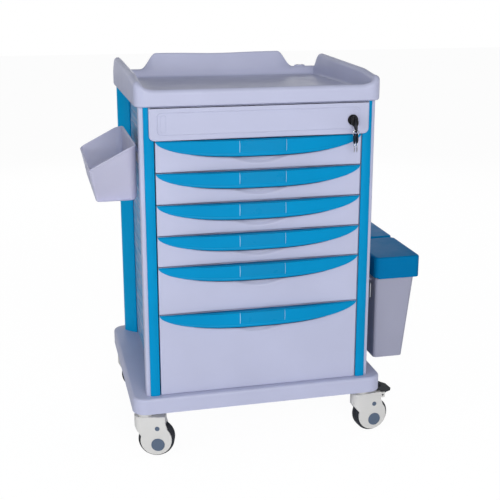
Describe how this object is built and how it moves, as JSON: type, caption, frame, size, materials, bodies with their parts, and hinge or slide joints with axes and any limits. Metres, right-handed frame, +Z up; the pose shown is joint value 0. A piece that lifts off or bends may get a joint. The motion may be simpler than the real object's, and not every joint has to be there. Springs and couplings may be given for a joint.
{
  "type": "ward drawer trolley",
  "caption": "Wheeled hospital cabinet with handled drawers under a lock panel, a railed top tray, a side box, lidded bins and swivel casters.",
  "frame": {"origin": "on the floor, under the middle of the whole outline, bins and side box included", "axes": "+X to the right as seen by someone facing the drawers, +Y towards the back, +Z up"},
  "size_m": [0.917, 0.6098, 1.064],
  "materials": {
    "body_plastic": "satin moulded ABS, pale lavender grey",
    "blue_plastic": "satin moulded ABS, process blue",
    "lid_plastic": "satin moulded ABS, deep blue",
    "panel_plastic": "ribbed sheet, grey blue",
    "zinc_steel": "zinc-plated steel",
    "chrome_metal": "bright plated",
    "key_black": "black plastic",
    "caster_plastic": "warm white nylon",
    "cap_slate": "slate plastic",
    "hub_grey": "grey nylon",
    "tyre_black": "soft rubber",
    "pedal_black": "black nylon"
  },
  "bodies": {
    "cabinet": {"base_chassis": "body_plastic", "caster_stems": "zinc_steel", "top_tray": "body_plastic", "front_posts": "body_plastic", "rear_posts": "body_plastic", "front_post_covers": "blue_plastic", "rear_post_covers": "blue_plastic", "side_panel_left": "panel_plastic", "side_panel_right": "panel_plastic", "back_panel": "body_plastic", "lock_fascia": "body_plastic", "lock_barrel": "chrome_metal", "drawer_runners": "zinc_steel", "side_box_hanger": "zinc_steel", "bin_rail": "zinc_steel", "frame_screws": "zinc_steel"},
    "drawer_1": {"drawer_1_box": "body_plastic", "drawer_1_front": "body_plastic", "drawer_1_handle": "blue_plastic"},
    "drawer_2": {"drawer_2_box": "body_plastic", "drawer_2_front": "body_plastic", "drawer_2_handle": "blue_plastic"},
    "drawer_3": {"drawer_3_box": "body_plastic", "drawer_3_front": "body_plastic", "drawer_3_handle": "blue_plastic"},
    "drawer_4": {"drawer_4_box": "body_plastic", "drawer_4_front": "body_plastic", "drawer_4_handle": "blue_plastic"},
    "drawer_5": {"drawer_5_box": "body_plastic", "drawer_5_front": "body_plastic", "drawer_5_handle": "blue_plastic"},
    "drawer_6": {"drawer_6_box": "body_plastic", "drawer_6_front": "body_plastic", "drawer_6_handle": "blue_plastic"},
    "lock_key": {"lock_key": "key_black"},
    "lock_bar": {"lock_bar": "zinc_steel"},
    "key_ring": {"key_ring": "chrome_metal"},
    "side_box": {"side_box": "body_plastic"},
    "bin_front": {"bin_front": "body_plastic"},
    "bin_lid_front": {"bin_lid_front": "lid_plastic"},
    "bin_rear": {"bin_rear": "body_plastic"},
    "bin_lid_rear": {"bin_lid_rear": "lid_plastic"},
    "caster_swivel_front_left": {"caster_fork_front_left": "caster_plastic", "caster_axle_front_left": "cap_slate"},
    "caster_wheel_front_left": {"caster_hub_front_left": "hub_grey", "caster_tyre_front_left": "tyre_black"},
    "caster_swivel_front_right": {"caster_fork_front_right": "caster_plastic", "caster_axle_front_right": "cap_slate"},
    "caster_wheel_front_right": {"caster_hub_front_right": "hub_grey", "caster_tyre_front_right": "tyre_black"},
    "brake_front_right": {"brake_pedal_front_right": "pedal_black"},
    "caster_swivel_rear_left": {"caster_fork_rear_left": "caster_plastic", "caster_axle_rear_left": "cap_slate"},
    "caster_wheel_rear_left": {"caster_hub_rear_left": "hub_grey", "caster_tyre_rear_left": "tyre_black"},
    "brake_rear_left": {"brake_pedal_rear_left": "pedal_black"},
    "caster_swivel_rear_right": {"caster_fork_rear_right": "caster_plastic", "caster_axle_rear_right": "cap_slate"},
    "caster_wheel_rear_right": {"caster_hub_rear_right": "hub_grey", "caster_tyre_rear_right": "tyre_black"}
  },
  "joints": [
    {"name": "drawer_1_slide", "type": "slide", "parent": "cabinet", "child": "drawer_1", "axis": [0, -1, 0], "range_m": [0, 0.39]},
    {"name": "drawer_2_slide", "type": "slide", "parent": "cabinet", "child": "drawer_2", "axis": [0, -1, 0], "range_m": [0, 0.39]},
    {"name": "drawer_3_slide", "type": "slide", "parent": "cabinet", "child": "drawer_3", "axis": [0, -1, 0], "range_m": [0, 0.39]},
    {"name": "drawer_4_slide", "type": "slide", "parent": "cabinet", "child": "drawer_4", "axis": [0, -1, 0], "range_m": [0, 0.39]},
    {"name": "drawer_5_slide", "type": "slide", "parent": "cabinet", "child": "drawer_5", "axis": [0, -1, 0], "range_m": [0, 0.39]},
    {"name": "drawer_6_slide", "type": "slide", "parent": "cabinet", "child": "drawer_6", "axis": [0, -1, 0], "range_m": [0, 0.39]},
    {"name": "key_turn", "type": "hinge", "parent": "cabinet", "child": "lock_key", "pos_m": [0.2275, -0.25513, 0.925], "axis": [0, -1, 0], "range_deg": [0, 90]},
    {"name": "lock_bar_lift", "type": "slide", "parent": "cabinet", "child": "lock_bar", "axis": [0, 0, 1], "range_m": [0, 0.0122]},
    {"name": "key_ring_swing", "type": "hinge", "parent": "lock_key", "child": "key_ring", "pos_m": [0.2275, -0.29613, 0.898], "axis": [0, 1, 0], "range_deg": [0, 90]},
    {"name": "side_box_lift", "type": "slide", "parent": "cabinet", "child": "side_box", "axis": [0, 0, 1], "range_m": [0, 0.06]},
    {"name": "bin_front_lift", "type": "slide", "parent": "cabinet", "child": "bin_front", "axis": [0, 0, 1], "range_m": [0, 0.05]},
    {"name": "bin_lid_front_hinge", "type": "hinge", "parent": "bin_front", "child": "bin_lid_front", "pos_m": [0.3345, -0.11913, 0.515], "axis": [0, -1, 0], "range_deg": [0, 85]},
    {"name": "bin_rear_lift", "type": "slide", "parent": "cabinet", "child": "bin_rear", "axis": [0, 0, 1], "range_m": [0, 0.05]},
    {"name": "bin_lid_rear_hinge", "type": "hinge", "parent": "bin_rear", "child": "bin_lid_rear", "pos_m": [0.3345, 0.09687, 0.515], "axis": [0, -1, 0], "range_deg": [0, 85]},
    {"name": "caster_front_left_swivel", "type": "hinge", "parent": "cabinet", "child": "caster_swivel_front_left", "pos_m": [-0.3315, -0.20913, 0.12], "axis": [0, 0, 1], "continuous": true},
    {"name": "caster_front_left_roll", "type": "hinge", "parent": "caster_swivel_front_left", "child": "caster_wheel_front_left", "pos_m": [-0.30239, -0.21639, 0.05], "axis": [0.2419, 0.9703, 0], "continuous": true},
    {"name": "caster_front_right_swivel", "type": "hinge", "parent": "cabinet", "child": "caster_swivel_front_right", "pos_m": [0.2965, -0.20913, 0.12], "axis": [0, 0, 1], "continuous": true},
    {"name": "caster_front_right_roll", "type": "hinge", "parent": "caster_swivel_front_right", "child": "caster_wheel_front_right", "pos_m": [0.32634, -0.206, 0.05], "axis": [-0.1045, 0.9945, 0], "continuous": true},
    {"name": "brake_front_right_press", "type": "hinge", "parent": "caster_swivel_front_right", "child": "brake_front_right", "pos_m": [0.35717, -0.20275, 0.109], "axis": [-0.1045, 0.9945, 0], "range_deg": [0, 14]},
    {"name": "caster_rear_left_swivel", "type": "hinge", "parent": "cabinet", "child": "caster_swivel_rear_left", "pos_m": [-0.3315, 0.24487, 0.12], "axis": [0, 0, 1], "continuous": true},
    {"name": "caster_rear_left_roll", "type": "hinge", "parent": "caster_swivel_rear_left", "child": "caster_wheel_rear_left", "pos_m": [-0.30179, 0.24069, 0.05], "axis": [0.1392, 0.9903, 0], "continuous": true},
    {"name": "brake_rear_left_press", "type": "hinge", "parent": "caster_swivel_rear_left", "child": "brake_rear_left", "pos_m": [-0.27109, 0.23638, 0.109], "axis": [0.1392, 0.9903, 0], "range_deg": [0, 14]},
    {"name": "caster_rear_right_swivel", "type": "hinge", "parent": "cabinet", "child": "caster_swivel_rear_right", "pos_m": [0.2965, 0.24487, 0.12], "axis": [0, 0, 1], "continuous": true},
    {"name": "caster_rear_right_roll", "type": "hinge", "parent": "caster_swivel_rear_right", "child": "caster_wheel_rear_right", "pos_m": [0.32369, 0.23219, 0.05], "axis": [0.4226, 0.9063, 0], "continuous": true}
  ],
  "couplings": [
    {"joint": "lock_bar_lift", "follows": "key_turn", "m_per_rad": 0.0076394}
  ]
}
